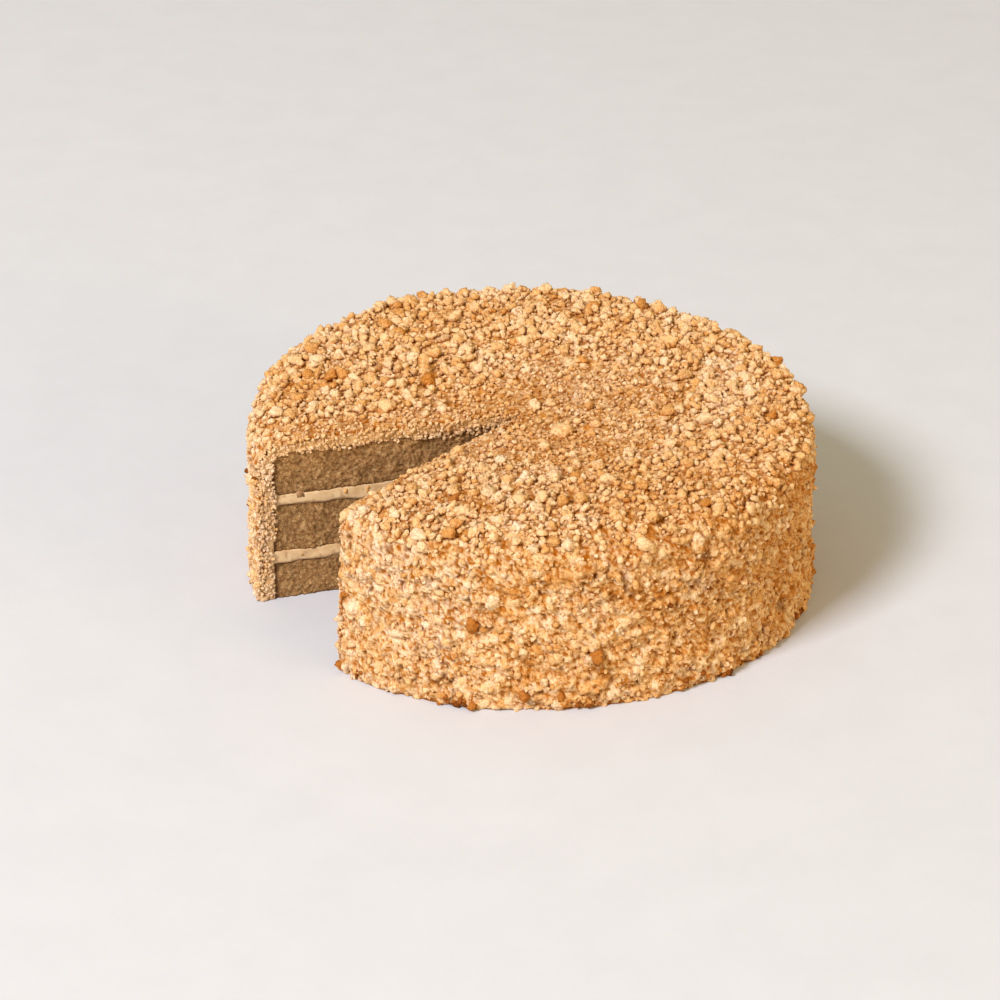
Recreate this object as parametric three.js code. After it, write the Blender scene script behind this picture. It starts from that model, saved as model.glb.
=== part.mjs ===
// A round caramel layer cake with one slice taken out, in millimetres, +Z up.
//
// Three baked sponge discs are stacked with two cream fillings between them. A thin frosting caps the stack
// and runs down its side, and a thick coat of biscuit crumbs is pressed into the frosting all over.
// One knife cut on each side of the missing slice runs through every layer down to the underside.
//
// The origin is on the cake's axis, at its underside. -Y is the front, and the open wedge faces front left.
// Every piece is a profile turned about the axis from one cut to the other, then made a little uneven.

import * as THREE from "three";
import { mergeVertices } from "three/addons/utils/BufferGeometryUtils.js";

// ---- Driving dimensions ----

const SPONGE_RADIUS = 115; // baked in a 230 mm tin
const SPONGE_HEIGHTS = [18.0, 21.5, 20.5]; // bottom, middle, top
const CREAM_HEIGHTS = [5.0, 5.0]; // lower filling, upper filling
const FROSTING_TOP = 3.0;
const FROSTING_SIDE = 2.8;
const CRUMB_TOP = 3.0; // over the middle of the cake
const CRUMB_PILE = 2.8; // how much thicker it is near the rim
const CRUMB_SIDE = 4.4;

const SLICE_ANGLE = 31.5; // about one twelfth of the cake, in degrees
const FAR_CUT_AZIMUTH = 198; // the cut wall that faces the front, in degrees from +X

const FILLING_WAVE = 0.8; // how far a filling's faces rise and fall
const FROSTING_WAVE = 0.5;
const CRUMB_WAVE = 0.9; // the coat's soft unevenness, each way
const PILE_START = 30; // the radius where the coat starts to thicken
const PILE_FULL = 90;
const CRUMB_SLOPE = 1.6; // how far the top of the coat rises at the back and falls at the front
const CRUMB_LUMP = 2.2; // the height of its lumps above that
const FROSTING_EDGE = 6.5; // rounding between top and side
const CRUMB_EDGE = 11.5;
const GAP = 0.3; // the clearance between two touching pieces

// ---- Facets ----

const LAYER_STEPS = 44; // round a sponge, a filling or the frosting
const LAYER_RINGS = 3; // from the axis to the rim
const FROSTING_SIDE_RINGS = 3;
const CRUMB_STEPS = 88;
const CRUMB_TOP_RINGS = 10;
const CRUMB_SIDE_RINGS = 6;
const EDGE_STEPS = 4;
const MERGE_DISTANCE = 1e-3;

// ---- Levels that follow from the dimensions ----

const STACK = [
  { name: "sponge_bottom", kind: "sponge", height: SPONGE_HEIGHTS[0] },
  { name: "cream_lower", kind: "cream", height: CREAM_HEIGHTS[0] },
  { name: "sponge_middle", kind: "sponge", height: SPONGE_HEIGHTS[1] },
  { name: "cream_upper", kind: "cream", height: CREAM_HEIGHTS[1] },
  { name: "sponge_top", kind: "sponge", height: SPONGE_HEIGHTS[2] },
];
const STACK_HEIGHT = STACK.reduce((sum, { height }) => sum + height, 0);
const FROSTING_RADIUS = SPONGE_RADIUS + FROSTING_SIDE;
const FROSTING_HEIGHT = STACK_HEIGHT + FROSTING_TOP;
const CRUMB_RADIUS = FROSTING_RADIUS + CRUMB_SIDE;
const CRUMB_HEIGHT = FROSTING_HEIGHT + CRUMB_TOP;

// ---- Unevenness ----

// A gentle wave between -1 and 1 over the plan of the cake, different for each seed.
function wave(x, y, seed) {
  const slow = Math.sin(x / 19 + 1.7 * seed) * Math.cos(y / 23 - 2.3 * seed);
  const cross = Math.sin((x + y) / 33 + seed) * Math.cos((x - y) / 27 + 3.1 * seed);
  return 0.5 * slow + 0.5 * cross;
}

// Lumps of pressed crumb, between 0 and 1, at any place on the coat.
function lumps(x, y, z) {
  const first = Math.sin(x / 3.9 + 0.8 * Math.sin(y / 7.1));
  const second = Math.sin(y / 4.3 + 0.9 * Math.sin(z / 5.7));
  const third = Math.sin(z / 4.1 + 0.7 * Math.sin(x / 6.3));
  return (first * second + second * third + third * first + 1.5) / 4.5;
}

// ---- Turning a profile from cut to cut ----

// Triangles that close a column of the sector across its profile, wound with or against the profile.
function endFaces(profile, firstVertex, reversed) {
  const faces = THREE.ShapeUtils.triangulateShape(profile, []);
  return faces.flatMap(([a, b, c]) => {
    const area = THREE.ShapeUtils.area([profile[a], profile[b], profile[c]]);
    const face = area > 0 === reversed ? [a, c, b] : [a, b, c];
    return face.map((corner) => firstVertex + corner);
  });
}

// Drops the triangles whose corners have merged, such as those at the axis.
function withoutEmptyFaces(geometry) {
  const index = geometry.getIndex().array;
  const kept = [];
  for (let i = 0; i < index.length; i += 3) {
    const [a, b, c] = index.slice(i, i + 3);
    if (a !== b && b !== c && c !== a) kept.push(a, b, c);
  }
  return geometry.setIndex(kept);
}

// Turns a profile of Vector2(radius, height) points about the Z axis, from the near cut round to the far cut.
// The profile starts and ends on the axis. shift(vertex, index) may move a vertex along its radius and height,
// where index is its place in the profile.
function turned(profile, steps, shift) {
  const start = THREE.MathUtils.degToRad(FAR_CUT_AZIMUTH + SLICE_ANGLE + 90); // a lathe starts at -Y
  const sweep = THREE.MathUtils.degToRad(360 - SLICE_ANGLE);
  const sector = new THREE.LatheGeometry(profile, steps, start, sweep).rotateX(Math.PI / 2);
  sector.deleteAttribute("normal").deleteAttribute("uv");
  const position = sector.getAttribute("position");
  const vertex = new THREE.Vector3();
  for (let i = 0; i < position.count; i++) {
    shift(vertex.fromBufferAttribute(position, i), i % profile.length);
    position.setXYZ(i, vertex.x, vertex.y, vertex.z);
  }
  const ends = [...endFaces(profile, 0, false), ...endFaces(profile, steps * profile.length, true)];
  sector.setIndex([...sector.getIndex().array, ...ends]);
  return withoutEmptyFaces(mergeVertices(sector, MERGE_DISTANCE));
}

// ---- Sponges and fillings ----

// A disc between two heights. lowSeed and highSeed name the wave on each face, and null leaves it flat.
function layerDisc(low, high, lowSeed, highSeed) {
  const radii = Array.from({ length: LAYER_RINGS }, (_, ring) => (SPONGE_RADIUS * (ring + 1)) / LAYER_RINGS);
  const underside = [0, ...radii].map((radius) => new THREE.Vector2(radius, low));
  const upper = [...radii.toReversed(), 0].map((radius) => new THREE.Vector2(radius, high));
  return turned([...underside, ...upper], LAYER_STEPS, (vertex, index) => {
    const seed = index < underside.length ? lowSeed : highSeed;
    if (seed !== null) vertex.z += FILLING_WAVE * wave(vertex.x, vertex.y, seed);
  });
}

function stackedLayers() {
  let level = 0;
  return STACK.map(({ name, kind, height }, index) => {
    const isFirst = index === 0;
    const isLast = index === STACK.length - 1;
    const low = isFirst ? 0 : level + GAP / 2;
    const high = isLast ? STACK_HEIGHT : level + height - GAP / 2;
    level += height;
    const geometry = layerDisc(low, high, isFirst ? null : index, isLast ? null : index + 1);
    return { name, kind, geometry };
  });
}

// ---- Frosting and crumb coat ----

// The outline of a cap with a rounded upper edge, from its rim at the base up to the axis on top.
function capOutline({ radius, height, edge, topRings, sideRings }) {
  const straight = height - edge;
  const side = Array.from({ length: sideRings + 1 }, (_, ring) => [radius, (straight * ring) / sideRings]);
  const rounding = Array.from({ length: EDGE_STEPS }, (_, step) => {
    const angle = (((step + 1) / EDGE_STEPS) * Math.PI) / 2;
    return [radius - edge + edge * Math.cos(angle), straight + edge * Math.sin(angle)];
  });
  const top = Array.from({ length: topRings }, (_, ring) => [
    ((radius - edge) * (topRings - 1 - ring)) / topRings,
    height,
  ]);
  return [...side, ...rounding, ...top].map(([x, y]) => new THREE.Vector2(x, y));
}

// How far a height on a cap belongs to its side: 0 on the top, 1 on the side, and between them on the edge.
const sideShare = (z, { height, edge }) => THREE.MathUtils.clamp((height - z) / edge, 0, 1);

// Moves a vertex of a cap outwards by a distance: up on the top, away from the axis on the side.
// A vertex at the base keeps its height.
function swell(vertex, distance, size) {
  const onSide = sideShare(vertex.z, size);
  const radius = Math.hypot(vertex.x, vertex.y);
  const growth = radius > 0 ? (radius + distance * onSide) / radius : 1;
  vertex.set(vertex.x * growth, vertex.y * growth, vertex.z + distance * (1 - onSide));
}

const frostingSize = (clearance) => ({
  radius: FROSTING_RADIUS + clearance,
  height: FROSTING_HEIGHT + clearance,
  edge: FROSTING_EDGE,
  topRings: LAYER_RINGS,
  sideRings: FROSTING_SIDE_RINGS,
});

const crumbSize = {
  radius: CRUMB_RADIUS,
  height: CRUMB_HEIGHT,
  edge: CRUMB_EDGE,
  topRings: CRUMB_TOP_RINGS,
  sideRings: CRUMB_SIDE_RINGS,
};

const frostingSwell = ({ x, y, z }) => FROSTING_WAVE * wave(x + z, y - z, 7);

// The coat is piled up towards the rim, slopes a little to the front, and is lumpy all over.
function crumbSwell({ x, y, z }) {
  const pile = CRUMB_PILE * THREE.MathUtils.smoothstep(Math.hypot(x, y), PILE_START, PILE_FULL);
  const slope = (CRUMB_SLOPE * y) / CRUMB_RADIUS;
  const onTop = 1 - sideShare(z, crumbSize);
  return onTop * (pile + slope) + CRUMB_WAVE * wave(x + 0.6 * z, y - 0.6 * z, 4) + CRUMB_LUMP * lumps(x, y, z);
}

function frosting() {
  const innerRadius = SPONGE_RADIUS + GAP;
  const innerHeight = STACK_HEIGHT + GAP;
  const inside = [
    new THREE.Vector2(0, innerHeight),
    new THREE.Vector2(innerRadius, innerHeight),
    new THREE.Vector2(innerRadius, 0),
  ];
  const size = frostingSize(0);
  return turned([...inside, ...capOutline(size)], LAYER_STEPS, (vertex, index) => {
    if (index >= inside.length) swell(vertex, frostingSwell(vertex), size);
  });
}

function crumbCoat() {
  const innerSize = frostingSize(GAP);
  const inside = capOutline(innerSize).toReversed();
  return turned([...inside, ...capOutline(crumbSize)], CRUMB_STEPS, (vertex, index) => {
    if (index < inside.length) swell(vertex, frostingSwell(vertex), innerSize);
    else swell(vertex, crumbSwell(vertex), crumbSize);
  });
}

// ---- Materials ----

const MATERIALS = {
  sponge: new THREE.MeshStandardMaterial({ color: 0x93703f, roughness: 0.95, metalness: 0 }),
  cream: new THREE.MeshStandardMaterial({ color: 0xe0c296, roughness: 0.55, metalness: 0 }),
  frosting: new THREE.MeshStandardMaterial({ color: 0xdcc39d, roughness: 0.6, metalness: 0 }),
  crumb: new THREE.MeshStandardMaterial({ color: 0xe0ab6b, roughness: 0.9, metalness: 0 }),
};

// ---- Assembly ----

const cake = new THREE.Group();

function addPiece(name, kind, geometry) {
  const mesh = new THREE.Mesh(geometry, MATERIALS[kind]);
  mesh.name = name;
  cake.add(mesh);
}

for (const { name, kind, geometry } of stackedLayers()) addPiece(name, kind, geometry);
addPiece("frosting", "frosting", frosting());
addPiece("crumb_coat", "crumb", crumbCoat());

export default cake;
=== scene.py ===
"""The looks of a round caramel layer cake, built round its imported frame.

The crumb coat is a relief of pressed crumbs, with loose crumbs and browned bits lying on it. The sponges and
fillings are blocks whose two cut walls carry the open crumb and the soft cream of a fresh cut.
Lengths are in millimetres and are turned into metres when a mesh is made. Azimuths are in degrees from +X.
"""

import math
from typing import NamedTuple

import bmesh
import bpy
import numpy as np
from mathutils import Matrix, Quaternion, Vector


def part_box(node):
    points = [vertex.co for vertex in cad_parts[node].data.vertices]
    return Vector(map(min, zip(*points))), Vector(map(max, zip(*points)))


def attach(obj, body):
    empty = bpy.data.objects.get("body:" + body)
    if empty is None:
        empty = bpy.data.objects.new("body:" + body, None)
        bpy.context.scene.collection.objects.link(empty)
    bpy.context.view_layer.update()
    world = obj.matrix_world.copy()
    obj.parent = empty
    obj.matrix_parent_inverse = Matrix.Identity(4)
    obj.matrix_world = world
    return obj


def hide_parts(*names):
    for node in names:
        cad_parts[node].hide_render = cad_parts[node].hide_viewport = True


MM = 0.001
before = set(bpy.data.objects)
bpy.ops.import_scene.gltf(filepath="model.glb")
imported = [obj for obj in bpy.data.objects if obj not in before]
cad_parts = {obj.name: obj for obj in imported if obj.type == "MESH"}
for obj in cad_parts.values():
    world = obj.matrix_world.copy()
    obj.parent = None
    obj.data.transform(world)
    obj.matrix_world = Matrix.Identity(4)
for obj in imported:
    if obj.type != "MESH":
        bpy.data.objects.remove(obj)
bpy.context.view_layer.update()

# ---- Sizes from the frame ----


def box_mm(node):
    """The lowest and highest corner of a CAD node, in millimetres."""
    low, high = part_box(node)
    return np.array(low) / MM, np.array(high) / MM


def box_radius(node):
    low, high = box_mm(node)
    return (high[0] - low[0]) / 2


COAT_RADIUS = box_radius("crumb_coat")
FROSTING_RADIUS = box_radius("frosting")
FROSTING_HEIGHT = box_mm("frosting")[1][2]
SPONGE_RADIUS = box_radius("sponge_top")
LAYERS = ["sponge_bottom", "cream_lower", "sponge_middle", "cream_upper", "sponge_top"]

# ---- Driving dimensions ----

NEAR_CUT = 229.5  # azimuth of the cut wall nearer the front
FAR_CUT = 558.0  # azimuth of the other cut wall, one turn further on than 198

LOOSE_CRUMB_HEIGHT = 3.0  # how far loose crumbs rise above the core
CORE_RADIUS = COAT_RADIUS - LOOSE_CRUMB_HEIGHT
CORE_COVER = 1.4  # the core over the frosting, in the middle of the cake
CORE_HEIGHT = FROSTING_HEIGHT + CORE_COVER
CORE_EDGE = 11.5  # rounding between top and side
CORE_INSET = 0.4  # between the frosting and the inside of the core
CORE_CHAMFER = 8.0  # how far its inner corner is cut off
CORE_OVERLAP = 0.9  # of its side and its top

PILE_HEIGHT = 3.4  # how much thicker the coat is near the rim
PILE_START = 30.0  # the radius where it starts to thicken
PILE_FULL = 90.0
TOP_SLOPE = 2.0  # how far the top rises at the back and falls at the front

FOOT_FLARE = 3.2  # how far the foot of the coat spreads where it spreads most
FOOT_HEIGHT = 32.0  # the height where it starts to spread
FOOT_AZIMUTHS = (335.0, 240.0)  # where it spreads most

WORN_DEPTH = 1.8  # how far the coat is worn away at the upper corner of the near cut
WORN_REACH = 20.0  # how far from the cut that goes
WORN_HEIGHTS = (24.0, 42.0)  # it starts between these heights on the side
WORN_RADII = (62.0, 104.0)  # and between these radii on top

TOP_STEP = 1.0  # distance between the rows of the core's relief on top
SIDE_STEP = 0.73  # the same on the side
WALL_STEP = 0.62  # the same on a cut wall
AXIS_FADE = 3.0  # how far from the axis the relief of a cut wall fades out
RIM_AZIMUTHS = np.linspace(NEAR_CUT, FAR_CUT, 61)[1:-1]  # round a layer's hidden rim, between the cuts

REAR_LEFT = 140.0
FRONT_RIGHT = 295.0
SHADED_SIDE_AZIMUTH = 342.0  # painted shade: the azimuth where the crumbs of the side, turned away from the key light, are painted darkest
SIDE_SHADE_SHARE = 0.14  # how much darker than the average that painted shade makes them, in tone

SEED = 20

# ---- Seeded noise ----


def unit(value):
    """The value, cut off at 0 and 1."""
    return np.clip(value, 0, 1)


def smooth_step(share):
    share = unit(share)
    return share * share * (3 - 2 * share)


def lattice(cells, seed):
    """A value between -1 and 1 for each row of whole numbers."""
    key = cells[..., 0] * 73856093 ^ cells[..., 1] * 19349663 ^ cells[..., 2] * 83492791 ^ seed * 2654435761
    key = (key ^ (key >> 13)) * 1274126177 & 0xFFFFFFFF
    key = (key ^ (key >> 15)) * 2246822519 & 0xFFFFFFFF
    return (key ^ (key >> 16)) / 0x7FFFFFFF - 1


def noise(points, scale, seed):
    """Smooth noise between -1 and 1, with features about one scale wide."""
    place = points / scale
    corner = np.floor(place)
    share = smooth_step(place - corner)
    corner = corner.astype(np.int64)
    total = 0
    for offset in np.ndindex(2, 2, 2):
        weight = np.prod(np.where(offset, share, 1 - share), axis=-1)
        total += weight * lattice(corner + offset, seed)
    return total


def layered_noise(points, scale, seed, octaves=3):
    """Noise with finer and finer detail, each octave half as strong."""
    levels = range(octaves)
    total = sum(noise(points, scale / 2**level, seed + level) / 2**level for level in levels)
    return total / sum(0.5**level for level in levels)


def noise_vectors(points, scale, seed):
    return np.stack([noise(points, scale, seed + axis) for axis in range(3)], axis=-1)


# ---- Places round the axis ----


def polar(radius, height, azimuth):
    """Points at a radius, a height and an azimuth."""
    angle = np.radians(azimuth)
    parts = np.broadcast_arrays(radius * np.cos(angle), radius * np.sin(angle), height)
    return np.stack(parts, axis=-1)


def from_axis(place):
    return np.hypot(place[:, 0], place[:, 1])


def facing(place, azimuth):
    """1 for places at this azimuth, 0 for those a quarter turn off, and -1 for those opposite."""
    return np.cos(np.arctan2(place[:, 1], place[:, 0]) - math.radians(azimuth))


def from_wall(place, cut):
    """Distance of each place from one of the two cut walls."""
    along, across = place @ polar(1, 0, cut), place @ polar(1, 0, cut + 90)
    return np.where(along > 0, np.abs(across), from_axis(place))


def from_cut(place):
    """Distance of each place from the nearer of the two cut walls."""
    return np.minimum(from_wall(place, NEAR_CUT), from_wall(place, FAR_CUT))


# ---- The outline of the coat ----

TOP_LENGTH = CORE_RADIUS - CORE_EDGE
EDGE_LENGTH = CORE_EDGE * math.pi / 2
SIDE_LENGTH = CORE_HEIGHT - CORE_EDGE
OUTLINE_LENGTH = TOP_LENGTH + EDGE_LENGTH + SIDE_LENGTH
SPLIT = TOP_LENGTH + EDGE_LENGTH / 2  # the top and the side of the core meet half-way round the edge


def outline(along):
    """Radius, height and tilt of the normal at a distance along the outline, from the axis to the foot."""
    turn = np.clip((along - TOP_LENGTH) / CORE_EDGE, 0, math.pi / 2)
    beyond = np.clip(along - TOP_LENGTH - EDGE_LENGTH, 0, None)
    radius = np.minimum(along, TOP_LENGTH) + CORE_EDGE * np.sin(turn)
    height = CORE_HEIGHT - CORE_EDGE * (1 - np.cos(turn)) - beyond
    return radius, height, turn


def side_share(height):
    """0 on the top of the coat, 1 on its side."""
    return unit((CORE_HEIGHT - height) / CORE_EDGE)


def piled(place):
    """How much higher than in the middle the top of the coat is at each place."""
    pile = PILE_HEIGHT * smooth_step((from_axis(place) - PILE_START) / (PILE_FULL - PILE_START))
    settled = 0.35 + 0.65 * unit((from_cut(place) - 3) / 16)
    slope = TOP_SLOPE * place[:, 1] / COAT_RADIUS
    return (pile * settled + slope) * (1 - side_share(place[:, 2]))


def flared(height, azimuth):
    """How much wider than the rest of the coat its foot is."""
    spread = sum(unit(np.cos(np.radians(azimuth - widest))) ** 4 for widest in FOOT_AZIMUTHS)
    pressed_in = unit(0.15 + (azimuth - NEAR_CUT) / 14)
    return FOOT_FLARE * smooth_step(1 - height / FOOT_HEIGHT) * spread * pressed_in


def worn(radius, height, azimuth):
    """How far the coat is worn away near the upper corner of the near cut."""
    near = smooth_step(1 - np.radians(azimuth - NEAR_CUT) * radius / WORN_REACH)
    upper = smooth_step((height - WORN_HEIGHTS[0]) / (WORN_HEIGHTS[1] - WORN_HEIGHTS[0]))
    outer = smooth_step((radius - WORN_RADII[0]) / (WORN_RADII[1] - WORN_RADII[0]))
    return WORN_DEPTH * near * upper * outer


def on_coat(along, azimuth):
    """Places on the smooth coat, and the normals there."""
    radius, height, turn = outline(along)
    normal = polar(np.sin(turn), np.cos(turn), azimuth)
    wear = worn(radius, height, azimuth)
    place = polar(radius + flared(height, azimuth), height, azimuth)
    place[:, 2] += piled(place)
    return place - normal * wear[:, None], normal


# ---- Scattering ----

JITTER = 0.42  # how far a place strays from its spot in an even pattern, as a share of the spacing


def scattered(spacing, rng, start=0.0):
    """Evenly spread random places on the coat, as distances along the outline and azimuths."""
    along, azimuth = [], []
    for row in np.arange(start + spacing / 2, OUTLINE_LENGTH, spacing * 0.9):
        radius = max(float(outline(np.array(row))[0]), spacing)
        count = max(3, round(math.radians(FAR_CUT - NEAR_CUT) * radius / spacing))
        step = (FAR_CUT - NEAR_CUT) / count
        across = np.arange(count) + rng.uniform(0, 1) + rng.uniform(-JITTER, JITTER, count)
        azimuth.append(NEAR_CUT + (across % count) * step)
        along.append(row + rng.uniform(-JITTER, JITTER, count) * spacing)
    return np.clip(np.concatenate(along), 0.2, OUTLINE_LENGTH - 0.3), np.concatenate(azimuth)


def coarseness(place):
    """How coarse the crumbs are, from 0 to 1: coarsest round the rim of the top, and fine at the far cut.

    The coarse band is widest at the rear left, and weakest at the front right.
    """
    inner = 48 - 28 * unit(facing(place, REAR_LEFT))
    band = unit((from_axis(place) - inner) / 26) * (1 - 0.5 * unit(facing(place, FRONT_RIGHT)))
    fine_strip = np.clip((from_wall(place, FAR_CUT) - 5) / 13, 0.1, 1)
    fine_strip *= np.clip(from_wall(place, NEAR_CUT) / 5, 0.3, 1)
    on_side = smooth_step((side_share(place[:, 2]) - 0.3) / 0.6)
    patches = 0.5 + 0.5 * layered_noise(place, 17, SEED + 60, 2)
    top = unit(0.27 + 0.83 * band * fine_strip + 0.3 * (patches - 0.5))
    side = unit(0.08 + 0.25 * (patches - 0.45))
    return top * (1 - on_side) + side * on_side


# ---- Overlapping balls ----


def tallest(points, centres, radii, sinks):
    """The height of the tallest ball over each point, and that ball's number. Points under no ball get -1.

    A ball's centre lies its sink below the surface. Points and centres lie on the same smooth surface.
    """
    size = float(radii.max())
    low = np.minimum(points.min(0), centres.min(0)) - 2 * size
    spans = (np.floor((np.maximum(points.max(0), centres.max(0)) - low) / size) + 3).astype(np.int64)

    def keys(cells):
        return (cells[:, 0] * spans[1] + cells[:, 1]) * spans[2] + cells[:, 2]

    centre_keys = keys(np.floor((centres - low) / size).astype(np.int64))
    order = np.argsort(centre_keys, kind="stable")
    ordered = centre_keys[order]
    cells = np.floor((points - low) / size).astype(np.int64)
    height = np.full(len(points), -np.inf)
    owner = np.full(len(points), -1)
    for offset in np.ndindex(3, 3, 3):
        wanted = keys(cells + np.array(offset) - 1)
        first = np.searchsorted(ordered, wanted, "left")
        count = np.searchsorted(ordered, wanted, "right") - first
        for step in range(int(count.max(initial=0))):
            near = np.flatnonzero(count > step)
            ball = order[first[near] + step]
            gap = ((points[near] - centres[ball]) ** 2).sum(1)
            inside = gap < radii[ball] ** 2
            near, ball, gap = near[inside], ball[inside], gap[inside]
            top = np.sqrt(radii[ball] ** 2 - gap) - sinks[ball]
            higher = top > height[near]
            height[near[higher]] = top[higher]
            owner[near[higher]] = ball[higher]
    return height, owner


# ---- Meshes ----


def new_object(name, points, faces, attributes, material, smooth=True):
    """A mesh object from points in millimetres, with one number a vertex for each attribute."""
    mesh = bpy.data.meshes.new(name)
    mesh.from_pydata((np.asarray(points) * MM).tolist(), [], faces)
    for key, values in attributes.items():
        layer = mesh.attributes.new(key, "FLOAT", "POINT")
        layer.data.foreach_set("value", np.asarray(values, np.float32))
    if smooth:
        mesh.shade_smooth()
    mesh.materials.append(material)
    piece = bpy.data.objects.new(name, mesh)
    bpy.context.scene.collection.objects.link(piece)
    return piece


def finished(piece, *repairs):
    """A closed piece after repairs to its mesh, with its faces turned outwards."""
    shape = bmesh.new()
    shape.from_mesh(piece.data)
    for repair in repairs:
        repair(shape)
    bmesh.ops.recalc_face_normals(shape, faces=shape.faces)
    shape.to_mesh(piece.data)
    shape.free()
    return piece


def drop_loose_points(shape):
    """Removes the vertices that no face uses."""
    unused = [vertex for vertex in shape.verts if not vertex.link_faces]
    bmesh.ops.delete(shape, geom=unused, context="VERTS")


def merge_doubles(shape):
    """Merges the vertices that lie together, and drops the faces that vanish with them."""
    bmesh.ops.remove_doubles(shape, verts=shape.verts, dist=1e-6)
    bmesh.ops.dissolve_degenerate(shape, dist=1e-7, edges=shape.edges)


def grid_faces(numbers):
    """Quads between the vertices of a table of vertex numbers."""
    corners = [numbers[:-1, :-1], numbers[:-1, 1:], numbers[1:, 1:], numbers[1:, :-1]]
    return np.stack(corners, axis=-1).reshape(-1, 4).tolist()


def stitched_faces(inner, outer):
    """Faces between two rows of vertex numbers, where the outer row has as many steps or twice as many."""
    if len(outer) == len(inner):
        return grid_faces(np.stack([inner, outer]))
    before, middle, after = outer[:-2:2], outer[1::2], outer[2::2]
    return np.stack([inner[:-1], before, middle, after, inner[1:]], axis=-1).tolist()


# ---- The relief of the core ----


def crumb_tones(place, rng, variety=1.0):
    """A tone for each crumb, from 0, pale, to 1, well browned: mostly random, with soft patches, and with
    painted light and shade on the side.
    """
    on_side = side_share(place[:, 2])
    patches = 0.5 + 0.5 * layered_noise(place, 21, SEED + 70, 2)
    blotches = 0.3 * layered_noise(place, 9, SEED + 72) * on_side
    own = (rng.beta(2.0, 2.6, len(place)) - 0.43) * variety
    # Painted shade: the side gets browner the further it turns to the right, away from the key light. Painted
    # light: its base tone is 0.06 paler, which keeps it bright where it takes less light than the top.
    side_shade = SIDE_SHADE_SHARE * facing(place, SHADED_SIDE_AZIMUTH) * on_side
    return unit(0.4 - 0.06 * on_side + 0.72 * own + 0.4 * (patches - 0.5) + blotches + side_shade)


def grain_bed(rng):
    """The balls of pressed grain all over the coat: centres on the smooth coat, radii, sinks and tones."""
    fine = scattered(1.55, rng)
    coarse = scattered(3.6, rng)
    along = np.concatenate([fine[0], coarse[0]])
    azimuth = np.concatenate([fine[1], coarse[1]])
    is_coarse = np.arange(len(along)) >= len(fine[0])
    centre, _ = on_coat(along, azimuth)
    radius = np.where(is_coarse, rng.uniform(1.3, 2.3, len(along)), rng.uniform(0.7, 1.25, len(along)))
    sink = np.where(is_coarse, rng.uniform(0.5, 1.1, len(along)), rng.uniform(0.2, 0.8, len(along)))
    chance = 0.12 + 0.9 * coarseness(centre) + 0.22 * side_share(centre[:, 2])
    keep = ~is_coarse | (rng.uniform(0, 1, len(along)) < chance)
    return centre[keep], radius[keep], sink[keep], crumb_tones(centre, rng)[keep]


def flake_bed(rng):
    """The wide, flat balls that make the plastered flakes of the side: centres, radii and sinks."""
    centre, _ = on_coat(*scattered(5.2, rng, start=TOP_LENGTH))
    radius = rng.uniform(4.0, 7.0, len(centre))
    return centre, radius, radius - rng.uniform(0.3, 2.0, len(centre))


def pit_bed(rng):
    """The small holes of the side: centres, radii and sinks."""
    centre, _ = on_coat(*scattered(4.6, rng, start=TOP_LENGTH + EDGE_LENGTH / 2))
    centre = centre[rng.uniform(0, 1, len(centre)) < 0.42]
    radius = rng.uniform(0.5, 1.25, len(centre))
    return centre, radius, radius * rng.uniform(0.1, 0.4, len(centre))


GRAINS = grain_bed(np.random.default_rng(SEED))
FLAKES = flake_bed(np.random.default_rng(SEED + 1))
PITS = pit_bed(np.random.default_rng(SEED + 2))


def cracks(place):
    """How open the short cracks between the flakes of the side are, from 0 to 1."""
    line = unit(1 - np.abs(noise(place, 5.5, SEED + 84)) / 0.11)
    return line * unit(3 * noise(place, 13, SEED + 85) + 0.3)


def coat_relief(place):
    """How far the pressed crumbs rise above the smooth coat at each place, their tone, the depth that sets
    painted crease shade, and how hollow the pits and cracks are, which sets painted shade in them.
    """
    on_side = side_share(place[:, 2])
    warped = place + 0.42 * noise_vectors(place, 1.1, SEED + 80)
    grain, owner = tallest(warped, *GRAINS[:3])
    rough = coarseness(place)
    # Painted shade: low gaps that no grain ball covers take a dark tone, and the coarse top is browner where
    # loose crumbs lie thick over it.
    tone = np.where(owner < 0, 0.75, GRAINS[3][owner]) + 0.1 * rough * (1 - on_side)
    grain = np.maximum(grain, -0.35)
    flake = np.maximum(tallest(place + 1.2 * noise_vectors(place, 3.5, SEED + 82), *FLAKES)[0], 0.1)
    pit = np.maximum(tallest(warped + 1.1 * noise_vectors(place, 1.6, SEED + 81), *PITS)[0], 0)
    crack = cracks(place + 0.8 * noise_vectors(place, 2.2, SEED + 83)) * on_side
    swell = 0.8 * layered_noise(place, 15, SEED + 90, 2) + 0.6 * on_side * noise(place, 5, SEED + 92)
    height = swell + grain * (1 - 0.2 * on_side) + 1.15 * (flake - 0.3) * on_side - 0.9 * pit - 0.8 * crack
    # The depth sets painted crease shade: more where the grain is low, between its balls, and on the coarse
    # top under the loose crumbs.
    depth = unit(0.72 - 0.16 * on_side + 0.25 * rough * (1 - on_side) - grain)
    return height, tone, depth, unit(1.3 * pit + 0.8 * crack)


def relief_vertices(along, azimuth):
    """Places on the core's relief, with the tone, the depth and the hollowness of each."""
    place, normal = on_coat(along, azimuth)
    height, tone, depth, hollow = coat_relief(place)
    height += 0.13 * noise(place, 0.9, SEED + 95)
    point = place + normal * height[:, None]
    point[:, 2] = np.maximum(point[:, 2], 0)
    return point, {"tone": tone, "depth": depth, "hollow": hollow}


# ---- The core, in three pieces ----

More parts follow.
